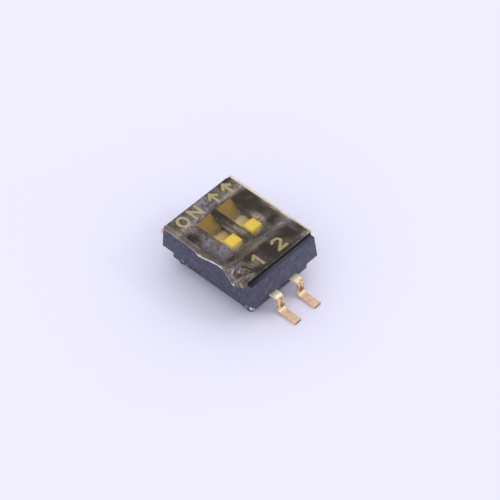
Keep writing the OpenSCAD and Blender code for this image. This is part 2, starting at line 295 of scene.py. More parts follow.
def lead_colour(n, low):
    """Shoulders painted pale as a highlight, legs painted darker as a reflection of the shaded table, with
    smudges and a dark streak, a painted glint on the lower bend, warm feet and cut ends painted dark as
    shade.
    """
    stains = n.spread(n.grain(0.20, 5, 0.7), 0.42, 0.62)
    # Shoulders painted pale as a highlight
    shoulder_highlight = n.mix(stains, rgb(1.0, 0.95, 0.68), rgb(1.0, 0.90, 0.60))
    # Legs painted darker than the shoulders, a painted reflection of the shaded table, with dark smudges
    dark_stains = n.spread(n.grain(0.17, 4, 0.7, 0.6), 0.46, 0.60)
    leg = n.mix(dark_stains, rgb(0.86, 0.64, 0.38), rgb(0.42, 0.25, 0.14))
    wander = n.spread(n.grain(0.3, 3, 0.6), 0.3, 0.7, -LEG_WANDER * MM, LEG_WANDER * MM)
    out = n.plus(n.math("ABSOLUTE", n.axis("Y")), wander)
    colour = n.mix(n.spread(out, LEG_START[0] * MM, LEG_START[1] * MM), shoulder_highlight, leg)
    foot = n.mix(stains, rgb(1.0, 0.74, 0.45), rgb(0.68, 0.44, 0.28))
    colour = n.mix(n.along("Z", *FOOT), colour, foot)
    spots = n.spread(n.grain(0.13, 4, 0.7), 0.40, 0.62, 0.35, 1.0)
    colour = n.mix(n.times(low, spots), colour, rgb(0.66, 0.47, 0.34))
    aside = n.math("ABSOLUTE", n.math("SUBTRACT", n.math("ABSOLUTE", n.axis("X")), PITCH / 2 * MM))
    wander = n.spread(n.grain(0.30, 4, 0.75), 0.3, 0.7, -STREAK_WANDER * MM, STREAK_WANDER * MM)
    side = n.spread(n.plus(aside, wander), STREAK_SIDE[0] * MM, STREAK_SIDE[1] * MM)
    leg_streak = n.times(side, n.times(n.along("Z", *STREAK_BOTTOM), n.along("Z", *STREAK_TOP)))
    colour = n.mix(leg_streak, colour, rgb(0.24, 0.115, 0.05))
    # Painted glint on the lower bend
    bend_glint = n.times(n.along("Z", *BEND_BOTTOM), n.along("Z", *BEND_TOP))
    colour = n.mix(n.times(bend_glint, 0.9), colour, rgb(1.0, 0.92, 0.56))
    # The feet's cut ends are painted dark as shade
    normal = n.add("ShaderNodeTexCoord").outputs["Normal"]
    facing = n.add("ShaderNodeSeparateXYZ", {"Vector": normal}).outputs["Y"]
    end = n.spread(n.math("ABSOLUTE", facing), 0.90, 0.97)
    return n.mix(n.times(end, n.along("Z", *CUT_END)), colour, rgb(0.22, 0.17, 0.17))


def gold_plate():
    """Thin gold over drawn copper alloy, with fine lines along the strip and a duller solder foot."""
    material, n = new_material("gold_plate")
    low = n.along("Z", *FOOT_STAINS)
    colour = lead_colour(n, low)
    stretched = n.add("ShaderNodeMapping", {"Vector": n.place(), "Scale": (1.0, 0.08, 0.3)}).outputs[0]
    lines = n.add("ShaderNodeTexNoise", {"Vector": stretched, "Scale": 1 / (0.03 * MM), "Detail": 2.0})
    roughness = n.spread(n.plus(n.grain(0.12, 3), n.times(low, 0.3)), 0.3, 0.9, 0.30, 0.58)
    normal = n.bump(lines.outputs["Fac"], 0.004, 0.8)
    normal = n.bump(n.grain(0.25, 2), 0.02, 0.5, normal)
    n.principled({"Base Color": colour, "Metallic": 0.35, "Roughness": roughness, "Normal": normal})
    return material


# Heights between which a slider's colour changes from its nub's to its dusty deck's
DECK_HEIGHTS = (TOP - 0.30, TOP - 0.42)


def cream_plastic():
    """Cream slider moulding: faint mottle, light that spreads below its skin, and a dusty deck."""
    material, n = new_material("cream_plastic")
    mottle = n.spread(n.grain(0.35, 3, 0.6), 0.3, 0.7)
    colour = n.mix(mottle, rgb(1.0, 0.94, 0.42), rgb(1.0, 0.84, 0.32))
    colour = n.mix(n.along("Z", *DECK_HEIGHTS), colour, rgb(1.0, 0.90, 0.88))
    roughness = n.spread(n.grain(0.1, 2), 0.3, 0.7, 0.35, 0.5)
    normal = n.bump(n.grain(0.05, 2), 0.003, 0.6)
    n.principled({"Base Color": colour, "Roughness": roughness, "Normal": normal, "Subsurface Weight": 0.65,
                  "Subsurface Radius": (1.0, 0.7, 0.3), "Subsurface Scale": 0.55 * MM})
    return material


def ramp_painted_sheen():
    """Ramps painted pale olive as a reflection of a lamp in their slope."""
    material, n = new_material("ramp_painted_sheen")
    tone = n.spread(n.grain(0.3, 3, 0.6), 0.3, 0.7)
    colour = n.mix(tone, rgb(0.20, 0.17, 0.08), rgb(0.30, 0.25, 0.115))
    normal = n.bump(n.grain(0.05, 2), 0.004, 0.6)
    n.principled({"Base Color": colour, "Roughness": 0.45, "Normal": normal})
    return material


# The numbers are dimmer than the rest of the print: the places between which it dims, and by how much
DIM_Y = (0, -1.0)
DIM = 0.40


def ink():
    """Print that looks ivory through the film, thin enough to show the black in places."""
    material, n = new_material("ink")
    thin = n.spread(n.grain(0.09, 4, 0.65), 0.42, 0.75)
    colour = n.mix(thin, rgb(0.50, 0.57, 0.82), rgb(0.28, 0.32, 0.46))
    colour = n.mix(n.along("Y", *DIM_Y, 0.0, DIM), colour, rgb(0.21, 0.235, 0.33))
    normal = n.bump(n.grain(0.04, 2), 0.003, 0.6)
    n.principled({"Base Color": colour, "Roughness": 0.6, "Normal": normal})
    return material


# How much of the light the film reflects when seen from the front, and what it adds at a grazing angle
FILM_GLOSS = 0.024
FILM_GRAZING = 0.9
# How milky the film gets on a full crease or painted glint, and at most
CREASE_MILK = 0.8
MOST_MILK = 0.9


def film_fog(n, whitening_and_glint):
    """The film's haze, which is warm or bluish grey and nearly white on the creases and painted glints."""
    shade = n.plus(n.spread(n.grain(0.4, 3, 0.6), 0.35, 0.65, -0.25, 0.25), n.attribute("cool"))
    colour = n.mix(n.spread(shade, -0.5, 0.5), rgb(0.62, 0.56, 0.43), rgb(0.54, 0.485, 0.74))
    colour = n.mix(n.spread(whitening_and_glint, 0.05, 0.5), colour, rgb(0.82, 0.80, 0.81))
    return n.add("ShaderNodeBsdfPrincipled", {"Base Color": colour, "Roughness": 0.5})


def amber_film():
    """Clear amber film: its tint, the haze where it isn't wetted to the cover, white creases with painted
    glints, painted edge highlights and glow, and gloss.
    """
    material, n = new_material("amber_film")
    whitening_and_glint = n.attribute("whitening_and_glint")
    blotch = n.spread(n.grain(0.12, 6, 0.80), 0.38, 0.62, 0.05, 2.10)
    specks = n.spread(n.grain(0.10, 4, 0.75), 0.54, 0.70, 0.0, 0.055)
    cloud = n.plus(n.times(n.attribute("haze"), blotch), n.times(whitening_and_glint, CREASE_MILK))
    cloud = n.math("MINIMUM", n.plus(cloud, specks), MOST_MILK)
    tint = n.add("ShaderNodeBsdfTransparent", {"Color": rgb(0.987, 0.905, 0.66)})
    fog = film_fog(n, whitening_and_glint)
    body = n.add("ShaderNodeMixShader", {0: cloud, 1: tint.outputs[0], 2: fog.outputs[0]})
    facing = n.add("ShaderNodeLayerWeight", {"Blend": 0.5}).outputs["Facing"]
    schlick = n.plus(n.times(n.math("POWER", facing, 5.0), FILM_GRAZING), FILM_GLOSS)
    front = n.math("SUBTRACT", 1.0, n.add("ShaderNodeNewGeometry").outputs["Backfacing"])
    fine = n.bump(n.grain(0.2, 4, 0.6), 0.008, 0.5)
    rough = n.spread(n.grain(0.2, 3), 0.3, 0.7, 0.10, 0.28)
    gloss = n.add("ShaderNodeBsdfAnisotropic", {"Color": rgb(1, 1, 1), "Roughness": rough, "Normal": fine})
    share = n.times(schlick, front)
    n.surface(n.add("ShaderNodeMixShader", {0: share, 1: body.outputs[0], 2: gloss.outputs[0]}))
    return material


def pale_floor():
    """Matt pale lavender table."""
    material, n = new_material("pale_floor")
    tone = n.spread(n.grain(30, 2), 0.3, 0.7)
    colour = n.mix(tone, rgb(0.855, 0.83, 0.975), rgb(0.87, 0.845, 0.99))
    n.surface(n.add("ShaderNodeBsdfDiffuse", {"Color": colour}))
    return material


def new_object(name, mesh, material, body=HOUSING):
    """Links a mesh as one piece of the model and lets it ride on a body."""
    piece = link(name, mesh)
    mesh.materials.clear()
    mesh.materials.append(material)
    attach(piece, body)
    return piece


def mesh_from(name, points_mm, faces):
    """A mesh from points in millimetres."""
    mesh = bpy.data.meshes.new(name)
    mesh.from_pydata([Vector(p) * MM for p in points_mm], [], faces)
    mesh.update()
    return mesh


# Radii of the rounded edges
COVER_EDGE = 0.025
BASE_EDGE = 0.02
LEAD_EDGE = 0.018
NUB_EDGE = 0.035
# Points closer than this, in metres, are joined, and so are faces that turn by less than this, in degrees
SAME_POINT = 1e-7
SAME_PLANE = 0.5
# Turns, in degrees, from which an edge is rounded, and from which it's still shaded as a sharp one
ROUNDED_TURN = 25.0
SHARP_TURN = 40


def softened(node, name, radius, segments=3):
    """A copy of a CAD node's mesh whose sharp edges are rounded to this radius in millimetres."""
    bm = bmesh.new()
    bm.from_mesh(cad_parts[node].data)
    bmesh.ops.remove_doubles(bm, verts=bm.verts, dist=SAME_POINT)
    bmesh.ops.dissolve_limit(bm, angle_limit=radians(SAME_PLANE), verts=bm.verts, edges=bm.edges)
    mesh = bpy.data.meshes.new(name)
    bm.to_mesh(mesh)
    bm.free()
    shaper = link(name, mesh)
    bevel = shaper.modifiers.new("edges", "BEVEL")
    bevel.width = radius * MM
    bevel.segments = segments
    bevel.limit_method = "ANGLE"
    bevel.angle_limit = radians(ROUNDED_TURN)
    bevel.miter_outer = "MITER_ARC"
    shaper.modifiers.new("normals", "WEIGHTED_NORMAL").keep_sharp = True
    evaluated = shaper.evaluated_get(bpy.context.evaluated_depsgraph_get())
    result = bpy.data.meshes.new_from_object(evaluated)
    bpy.data.objects.remove(shaper)
    for polygon in result.polygons:
        polygon.use_smooth = True
    result.set_sharp_from_angle(angle=radians(SHARP_TURN))
    return result


def cover_finish(polygon):
    """Index of a cover face's material: 1 for the top and the steps, 2 for the ON ramps and 0 elsewhere."""
    centre, normal = polygon.center, polygon.normal
    if centre.z > STEP_HEIGHT * MM and (normal.z > 0.6 or centre.y < OFF_STEP_Y * MM):
        return 1
    if 0.5 < normal.z < 0.95 and normal.y < -0.3 and centre.y > ON_RAMP_Y * MM:
        return 2
    return 0


def make_housing(material, wetted, ramp):
    """Cover and base with rounded mould edges. The cover's top has its own finish, which on its steps is a
    painted shadow, and its ON ramps carry a painted reflection.
    """
    for node, radius in (("cover", COVER_EDGE), ("base", BASE_EDGE)):
        name = f"{node}_moulding"
        piece = new_object(name, softened(node, name, radius), material)
        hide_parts(node)
        if node == "cover":
            piece.data.materials.append(wetted)
            piece.data.materials.append(ramp)
            for polygon in piece.data.polygons:
                polygon.material_index = cover_finish(polygon)


def make_leads(material):
    """Leads with the soft edges of plated stampings."""
    for node in TERMINALS:
        name = node.replace("terminal", "lead")
        piece = new_object(name, softened(node, node, LEAD_EDGE), material)
        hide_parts(node)


def make_sliders(material):
    """Sliders with rounded nubs."""
    for node in SLIDERS:
        number = node.split("_")[-1]
        piece = new_object(f"slider_moulding_{number}", softened(node, node, NUB_EDGE, 4), material,
                           f"switch_{number}")
        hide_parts(node)


# The print's thickness, how much higher each later stroke lies, and the size of its letters
INK_T = 0.008
INK_LAP = 0.001
LETTER_H = 0.70
LETTER_W = 0.60
STROKE_W = 0.138
# Width of the flag of the 1, as a share of a stroke's
FLAG_W = 0.9
# The 2's bowl: half its height as a share of the letter's, and the angles at which it starts and ends
BOWL = 0.33
BOWL_START = 168
BOWL_END = -38
# A stroke whose ends lie closer than this is closed, and below this cosine its corners get no longer
SAME_PLACE = 1e-6
MITRE_LIMIT = 0.35


def stroke(points, width):
    """Left and right edges of a flat stroke along these points, with mitred corners."""
    pts = [Vector(p) for p in points]
    closed = (pts[0] - pts[-1]).length < SAME_PLACE
    if closed:
        pts = pts[:-1]
    left, right = [], []
    for i, p in enumerate(pts):
        before = (p - pts[i - 1]).normalized() if (i or closed) else None
        after = (pts[(i + 1) % len(pts)] - p).normalized() if (i < len(pts) - 1 or closed) else None
        a, b = before or after, after or before
        along = (a + b).normalized()
        side = Vector((-along.y, along.x))
        reach = width / 2 / max(side.dot(Vector((-a.y, a.x))), MITRE_LIMIT)
        left.append(p + side * reach)
        right.append(p - side * reach)
    return left, right, closed


def glyph(name, strokes, centre, material):
    """Raised print made of strokes. Points are given in a box from -0.5 to 0.5 each way."""
    points, faces = [], []
    for order, (line, weight) in enumerate(strokes):
        thickness = INK_T + order * INK_LAP
        scaled = [Vector((x * LETTER_W, y * LETTER_H)) for x, y in line]
        left, right, closed = stroke(scaled, weight)
        first = len(points)
        count = len(left)
        for height in (TOP, TOP + thickness):
            for side in (left, right):
                points += [(centre[0] + p.x, centre[1] + p.y, height) for p in side]
        ll, lr, hl, hr = (first + count * k for k in range(4))
        for i in range(count if closed else count - 1):
            j = (i + 1) % count
            faces += [(hl + i, hr + i, hr + j, hl + j), (ll + i, ll + j, lr + j, lr + i),
                      (hl + i, hl + j, ll + j, ll + i), (hr + i, lr + i, lr + j, hr + j)]
        if not closed:
            e = count - 1
            faces += [(ll, lr, hr, hl), (ll + e, hl + e, hr + e, lr + e)]
    new_object(name, mesh_from(name, points, faces), material)


def arc(cx, cy, rx, ry, start, end, steps):
    """Points of an ellipse's arc, in degrees."""
    angles = [radians(start + (end - start) * k / steps) for k in range(steps + 1)]
    return [(cx + rx * cos(a), cy + ry * sin(a)) for a in angles]


def make_legend(material):
    """ON at the ON side with two plain arrows beside it, and the position numbers at the off side."""
    w = STROKE_W
    inner = 0.5 - w / 2 / LETTER_W
    inner_y = 0.5 - w / 2 / LETTER_H
    letter_o = [(arc(0, 0, inner, inner_y, 0, 360, 40), w)]
    letter_n = [([(-inner, -0.5), (-inner, 0.5)], w), ([(inner, -0.5), (inner, 0.5)], w),
                ([(-inner, inner_y), (inner, -inner_y)], w)]
    one = [([(0.12, -0.5), (0.12, 0.5)], w), ([(0.10, 0.42), (-0.28, 0.16)], w * FLAG_W)]
    bowl = arc(0, 0.5 - BOWL, inner, BOWL - w / 2 / LETTER_H, BOWL_START, BOWL_END, 18)
    two = [(bowl + [(-inner, -inner_y)], w), ([(-0.5, -inner_y), (0.5, -inner_y)], w)]
    arrow = [([(0, -0.5), (0, 0.3)], w), ([(-0.42, 0.02), (0, 0.42), (0.42, 0.02)], w)]
    for name, strokes, centre in (
        ("letter_o", letter_o, (-1.37, 2.10)), ("letter_n", letter_n, (-0.57, 2.11)),
        ("arrow_1", arrow, (0.60, 2.09)), ("arrow_2", arrow, (1.44, 2.09)),
        ("digit_1", one, (-0.79, -1.78)), ("digit_2", two, (0.53, -1.79)),
    ):
        glyph(name, strokes, centre, material)


# The film's thickness, its gap over the cover, the step of its grid and the columns of its hanging strip
FILM_T = 0.035
FILM_GAP = 0.012
FILM_STEP = 0.027
HANG_COLUMNS = 26
# The film's outline in plan: its two long edges and its fold over the first end
FILM_Y_LOW = TAPE_LOW.y + 0.04
FILM_Y_HIGH = TAPE_HIGH.y - 0.02
FILM_X_FOLD = TOP_START_X + 0.03
# How far out the hanging strip's curve turns down, as a share of its reach
HANG_TURN = 0.95
# Turn, in degrees, from which an edge of the film is shaded as a sharp one
FILM_SHARP_TURN = 35
# Cut edge over the first end: place along y, place along x, and drop below the top face
CUT_EDGE = (
    (-2.45, -2.08, 0.10), (-2.32, -2.10, 0.20), (-2.21, -2.12, 0.33), (-1.97, -2.13, 0.43),
    (-1.80, -2.13, 0.50), (-1.65, -2.13, 0.50), (-1.45, -2.12, 0.37), (-1.27, -2.11, 0.22),
    (-1.08, -2.09, 0.04), (-0.75, -2.12, 0.03), (-0.40, -2.14, 0.05), (-0.10, -2.17, 0.09),
    (0.20, -2.20, 0.13), (0.40, -2.20, 0.12), (0.65, -2.15, 0.09), (1.50, -2.13, 0.06), (2.50, -2.14, 0.07),
)
# Cut edge over the last end: place along y and place along x
FAR_EDGE = (
    (-2.45, 2.03), (-1.90, 2.06), (-1.20, 2.09), (-0.20, 2.10), (0.60, 2.13), (1.50, 2.13), (2.50, 2.12),
)
# Place along x in the middle of that edge
FAR_MIDDLE = FAR_EDGE[3][1]
# A cut edge is worked out at this many points, and eased over this many of them each way
EDGE_POINTS = 400
EDGE_EASING = 11

# Where the film lies wetted and dark (x, y, reach along x, reach along y, depth)
DARK_PATCHES = (
    (1.45, 1.05, 0.45, 0.55, 1.0), (0.05, 1.30, 0.20, 0.40, 0.9), (-1.76, 1.15, 0.16, 0.36, 1.0),
    (-0.98, -1.46, 0.30, 0.18, 1.0), (-0.05, -1.75, 0.34, 0.42, 1.0), (1.30, -1.72, 0.34, 0.42, 0.9),
    (-1.45, -0.95, 0.36, 0.10, 1.0), (1.52, 0.15, 0.20, 0.36, 0.7), (1.40, -0.60, 0.30, 0.12, 1.0),
    (0.40, -2.30, 1.20, 0.08, 0.5), (-1.30, -2.10, 0.18, 0.14, 0.6), (-1.62, -1.98, 0.16, 0.16, 0.6),
    (0.70, -1.62, 0.16, 0.14, 0.6), (-1.52, -1.62, 0.12, 0.12, 0.5), (-1.10, -2.25, 0.30, 0.12, 0.6),
    (0.03, 0.95, 0.12, 0.25, 0.3), (1.72, 2.42, 0.34, 0.10, 1.6), (0.00, 0.45, 0.10, 0.12, 0.7),
    (1.60, -1.60, 0.10, 0.30, -0.5),
)
# Where it stands off the cover and looks palest
PALE_PATCHES = (
    (0.03, 2.28, 0.32, 0.24, 1.0), (-1.42, 0.85, 0.14, 0.30, 0.5), (-1.55, 0.25, 0.30, 0.36, 0.8),
    (-1.42, -0.38, 0.34, 0.28, 1.0), (-0.14, 0.16, 0.19, 0.30, 1.2), (-0.02, -0.22, 0.14, 0.18, 0.9),
    (1.06, -0.12, 0.12, 0.36, 2.6), (0.00, -1.16, 0.80, 0.10, 0.7), (1.55, -1.14, 0.40, 0.16, 1.0),
    (-1.30, 1.72, 0.80, 0.14, 1.4), (0.10, 1.85, 0.50, 0.14, 0.5), (1.35, 1.72, 0.62, 0.15, 2.0),
    (1.00, 2.12, 0.12, 0.26, 0.4), (-1.00, 2.10, 0.12, 0.26, 0.4), (1.92, -0.85, 0.10, 0.45, 1.0),
    (1.94, -0.20, 0.08, 0.36, 2.3), (1.90, -2.38, 0.12, 0.12, 3.4), (1.93, 0.36, 0.07, 0.14, 1.2),
    (1.70, -2.26, 0.16, 0.10, 1.4), (-1.05, -1.85, 0.20, 0.16, 0.6), (-1.80, -2.22, 0.20, 0.12, 1.0),
    (-0.50, 1.95, 0.22, 0.30, 0.7), (-0.80, 0.80, 0.20, 0.14, 0.4), (-1.70, -1.60, 0.42, 0.50, 0.6),
    (1.90, 1.75, 0.08, 0.30, 0.6), (-1.56, 1.45, 0.30, 0.20, 0.8), (-0.52, 0.85, 0.12, 0.20, 0.6),
    (0.93, 0.75, 0.12, 0.20, 0.6),
)
# Haze over the open windows
WINDOW_PATCHES = (
    (-0.80, 0.42, 0.20, 0.14, -0.4), (0.45, 0.38, 0.24, 0.20, 0.7), (-0.34, 0.20, 0.08, 0.40, 1.0),
    (0.99, -0.15, 0.10, 0.34, 2.0), (-0.80, -0.62, 0.32, 0.08, 1.3), (0.58, -0.63, 0.28, 0.08, 0.9),
)
# Where its haze looks bluer, or browner where the depth is negative. The two brown patches just before the
# nubs are a painted reflection of the nubs' yellow light
COOL_PATCHES = (
    (-1.75, -0.45, 0.25, 0.45, 1.0), (-1.60, 0.45, 0.30, 0.40, 0.6), (-0.86, 0.40, 0.25, 0.20, 0.6),
    (0.35, 0.25, 0.25, 0.30, 0.6), (-0.95, 1.45, 0.25, 0.30, 0.6), (0.30, 1.30, 0.20, 0.30, 0.5),
    (1.40, -1.70, 0.40, 0.50, 1.0), (-0.15, -1.80, 0.30, 0.40, 0.8), (0.00, 2.35, 0.30, 0.20, 0.5),
    (1.10, -0.10, 0.20, 0.30, -1.5), (0.85, -1.95, 0.30, 0.40, -0.9), (-0.55, -1.20, 0.60, 0.30, -0.4),
    (1.20, 1.95, 0.40, 0.30, -0.7), (-0.72, -0.62, 0.34, 0.14, -1.5), (0.55, -0.62, 0.34, 0.14, -1.5),
    (-0.08, 0.02, 0.20, 0.50, -0.8), (-1.85, 2.00, 0.20, 0.30, -0.6), (-0.55, 1.20, 0.20, 0.30, -0.8),
)
# Pale creases and painted glints as lines (first place, last place, width, strength). The first number of a
# place runs along x on the top and goes on down the hanging part
CREASES = (
    ((-2.02, -1.08), (-2.20, -1.26), 0.030, 0.18), ((-2.20, -1.26), (-2.34, -1.44), 0.035, 0.30),
    ((-2.34, -1.44), (-2.46, -1.62), 0.030, 0.20), ((-2.46, -1.62), (-2.44, -1.72), 0.040, 0.95),
    ((-2.30, -1.70), (-1.99, -2.02), 0.030, 0.28), ((-1.97, -2.02), (-1.45, -2.24), 0.030, 0.12),
    ((-1.95, -1.44), (-2.12, -1.62), 0.030, 0.30), ((-2.00, -1.28), (-1.80, -1.46), 0.030, 0.22),
    ((-1.80, -1.46), (-1.58, -1.42), 0.025, 0.16), ((-2.14, -2.08), (-2.30, -2.20), 0.050, 0.40),
    ((-1.72, -1.62), (-1.90, -1.72), 0.025, 0.25), ((1.97, -0.65), (1.97, -1.30), 0.050, 0.45),
    ((-2.11, 0.40), (-2.10, 0.26), 0.045, 0.90), ((1.50, 1.02), (1.95, 0.93), 0.020, 0.10),
    ((1.30, 0.42), (1.18, -0.36), 0.025, 0.12), ((-1.90, -0.62), (-1.35, -0.80), 0.020, 0.10),
    ((0.20, -0.98), (1.60, -1.14), 0.022, 0.12), ((-0.60, -1.06), (0.30, -1.00), 0.020, 0.10),
    ((-1.62, 0.98), (-1.44, 0.30), 0.022, 0.10),
)
# Dark creases, given in the same way
DARK_CREASES = (
    ((-1.54, -1.56), (-1.38, -2.02), 0.050, 0.5), ((-1.96, -1.78), (-1.95, -1.86), 0.060, 1.0),
    ((-2.20, -1.44), (-2.30, -1.60), 0.030, 0.4), ((-1.85, -1.52), (-1.70, -1.66), 0.030, 0.3),
    ((-2.05, -2.22), (-1.86, -2.27), 0.045, 0.4), ((-1.98, -1.55), (-2.00, -1.70), 0.030, 0.4),
)

# Haze of the plain film, what each feature adds to it or takes away, and its limits
HAZE_PLAIN = 0.045
HAZE_ON_SIDE = 0.03
HAZE_PALE = 0.13
HAZE_DARK = 0.11
HAZE_BROAD = 0.02
HAZE_RIPPLE = 0.03
HAZE_CORNER = 1.6
HAZE_CREASE = 0.20
OFF_EDGE_HIGHLIGHT = 0.04
HAZE_LIMITS = (0.004, 0.5)
# Over a window this share of that haze is gone, and this much of the window's own patches comes in
WINDOW_CLEAR = 0.9
WINDOW_HAZE = 0.16
# Each pair has the two places between which a window's edge is passed, aside of a slider's middle and
# along the travel
WINDOW_SIDE = (0.5, 0.42)
WINDOW_OFF_END = (-0.8, -0.7)
WINDOW_ON_END = (1.65, 1.55)

# Painted highlights on the curled stretch of the cut edge, on the straight one and on the fold, and painted
# light through the film past the last end
CURL_HIGHLIGHT = 0.80
CURL_UNEVEN = 0.35
STRAIGHT_HIGHLIGHT = 0.20
FOLD_HIGHLIGHT = 0.14
LAST_END_GLOW = 0.9
# Places along y between which the curled stretch starts and ends, and the straight one starts
CURL_START = (-1.06, -0.92)
CURL_END = (0.36, 0.22)
STRAIGHT_START = (0.35, 0.5)

# The crumpled corner on the film laid flat: its middle, and its reach each way
CORNER = (-2.10, -1.78)
CORNER_REACH = (0.50, 0.62)
# Sizes of its facets, how sharp their ridges are, and how high
FACET_SIZE = 0.26
SMALL_FACET_SIZE = 0.13
RIDGE_SHARPNESS = 2.2
FACET_LIFT = 0.045
SMALL_FACET_LIFT = 0.018
# How far the rest of the film stands up: everywhere, where it's loose, on ripples and creases, and at edges
FLAT_LIFT = 0.004
LOOSE_LIFT = 0.012
RIPPLE_LIFT = 0.004
FINE_LIFT = 0.0015
CREASE_LIFT = 0.02
FIRST_EDGE_LIFT = 0.006
HANG_LIFT = 0.010


def smooth(low, high, value):
    """Smooth step from 0 at low to 1 at high."""
    t = np.clip((value - low) / (high - low), 0.0, 1.0)
    return t * t * (3 - 2 * t)


def patches(table, x, y):
    """Sum of soft oval spots."""
    total = np.zeros_like(x)
    for cx, cy, rx, ry, depth in table:
        total += depth * np.exp(-(((x - cx) / rx) ** 2 + ((y - cy) / ry) ** 2))
    return total


def noise_field(x, y, size, seed, octaves):
    """Smooth fractal noise from about -1 to 1 on a grid of points."""
    flat = [noise.fractal(Vector((a / size, b / size, seed)), 1.0, 2.0, octaves)
            for a, b in zip(x.ravel(), y.ravel())]
    return np.array(flat).reshape(x.shape)


def cells(x, y, size, seed):
    """Ridges of a crumpled sheet: 1 on the creases between flat facets and 0 inside them."""
    ridges = []
    for a, b in zip(x.ravel(), y.ravel()):
        near = noise.voronoi(Vector((a / size, b / size, seed)))[0]
        ridges.append(1 - min(1.0, (near[1] - near[0]) * RIDGE_SHARPNESS))
    return np.array(ridges).reshape(x.shape)


def eased(table, column, y):
    """Value of a table's column at each y, with soft turns between its rows."""
    places = np.array([row[0] for row in table])
    values = np.array([row[column] for row in table])
    fine = np.linspace(places[0], places[-1], EDGE_POINTS)
    plain = np.interp(fine, places, values)
    weights = np.hanning(2 * EDGE_EASING + 1)
    padded = np.pad(plain, EDGE_EASING, mode="edge")
    return np.interp(y, fine, np.convolve(padded, weights / weights.sum(), mode="valid"))


def film_grid():
    """Points of the film before it's wrinkled, and how far down the hanging strip each one is."""
    rows = int((FILM_Y_HIGH - FILM_Y_LOW) / FILM_STEP) + 1
    y = np.linspace(FILM_Y_LOW, FILM_Y_HIGH, rows)
    x_far = eased(FAR_EDGE, 1, y)
    columns = int((FAR_MIDDLE - FILM_X_FOLD) / FILM_STEP)
    share = np.linspace(0, 1, columns, endpoint=False)
    flat_x = x_far[:, None] + (FILM_X_FOLD - x_far[:, None]) * share[None, :]
    t = np.linspace(0, 1, HANG_COLUMNS)[None, :]
    end_x, drop = eased(CUT_EDGE, 1, y)[:, None], eased(CUT_EDGE, 2, y)[:, None]
    turn_x = FILM_X_FOLD + (end_x - FILM_X_FOLD) * HANG_TURN
    hang_x = (1 - t) ** 2 * FILM_X_FOLD + 2 * t * (1 - t) * turn_x + t ** 2 * end_x
    hang_z = -drop * t ** 2
    x = np.concatenate([flat_x, hang_x], axis=1)
    z = np.concatenate([np.zeros_like(flat_x), hang_z], axis=1)
    hang_share = np.concatenate([np.zeros_like(flat_x), np.repeat(t, rows, axis=0)], axis=1)
    return x, np.repeat(y[:, None], x.shape[1], axis=1), z, hang_share


def grid_normals(points):
    """Unit normals of a grid of points, upward where it lies flat."""
    along_rows = np.gradient(points, axis=0)
    along_columns = np.gradient(points, axis=1)
    normals = np.cross(along_rows, along_columns)
    return normals / np.linalg.norm(normals, axis=2, keepdims=True)


def line_strength(table, along, y):
    """Strength of a table's creases at each point of the film laid flat."""
    total = np.zeros_like(y)
    for start, end, width, strength in table:
        run = np.array(end) - np.array(start)
        share = ((along - start[0]) * run[0] + (y - start[1]) * run[1]) / run.dot(run)
        share = np.clip(share, 0, 1)
        far = np.hypot(along - start[0] - share * run[0], y - start[1] - share * run[1])
        total = np.maximum(total, strength * np.exp(-(far / width) ** 2))
    return total


def over_windows(x, y):
    """1 where the film spans a window and 0 where it lies on the cover."""
    total = np.zeros_like(x)
    for node in SLIDERS:
        low, high = box_mm(node)
        aside = np.abs(x - (low.x + high.x) / 2)
        window = smooth(*WINDOW_SIDE, aside) * smooth(*WINDOW_OFF_END, y) * smooth(*WINDOW_ON_END, y)
        total = np.maximum(total, window)
    return total


def film_haze(x, y, along, broad, ripple, fine, corner):
    """How milky the film is at each point."""
    haze = HAZE_PLAIN + HAZE_ON_SIDE * smooth(1.45, 1.75, y) + HAZE_PALE * patches(PALE_PATCHES, x, y)
    haze -= HAZE_DARK * patches(DARK_PATCHES, x, y)
    haze += HAZE_BROAD * broad + HAZE_RIPPLE * ripple
    clear = 1 - WINDOW_CLEAR * over_windows(x, y)
    haze = haze * clear + WINDOW_HAZE * patches(WINDOW_PATCHES, x, y)
    haze *= 1 + corner * HAZE_CORNER * fine
    haze -= HAZE_CREASE * line_strength(DARK_CREASES, along, y)
    haze = np.clip(haze, *HAZE_LIMITS)
    # Painted highlight along the film's off-side edge
    haze[:2] += OFF_EDGE_HIGHLIGHT
    return haze


def film_whitening_and_glints(x, y, hang, creases, fine):
    """Painted highlights along the first end's cut edge and its fold, white creases with painted glints in
    the crumpled corner, and painted light through the film past the last end.
    """
    near_edge = smooth(0.66, 0.98, hang)
    curled = smooth(*CURL_START, y) * smooth(*CURL_END, y)
    straight = smooth(*STRAIGHT_START, y)
    whitening_and_glint = near_edge * ((CURL_HIGHLIGHT + CURL_UNEVEN * fine) * curled + STRAIGHT_HIGHLIGHT * straight)
    whitening_and_glint += FOLD_HIGHLIGHT * straight * smooth(0.0, 0.1, hang) * smooth(0.3, 0.1, hang)
    whitening_and_glint += creases
    whitening_and_glint += LAST_END_GLOW * smooth(2.0, 2.05, x)
    return np.clip(whitening_and_glint, 0, 1)


def film_lift(x, y, along, hang, creases, broad, ripple, fine, corner):
    """How far each point stands up above the film's gap."""
    facets = cells(along, y * 0.8, FACET_SIZE, 5.5)
    small_facets = cells(along, y, SMALL_FACET_SIZE, 13.1)
    first_edge = 1 - smooth(-2.0, -1.6, x)
    loose = FLAT_LIFT + LOOSE_LIFT * np.clip(patches(PALE_PATCHES, x, y), 0, 1)
    lift = loose * (1 + broad) + RIPPLE_LIFT * (1 + ripple) + FINE_LIFT * (1 + fine)
    lift += corner * (FACET_LIFT * facets + SMALL_FACET_LIFT * small_facets) + CREASE_LIFT * creases
    lift += first_edge * FIRST_EDGE_LIFT * (1 + ripple)
    lift += smooth(0.1, 0.6, hang) * HANG_LIFT * (1 + fine)
    return np.maximum(lift, 0)


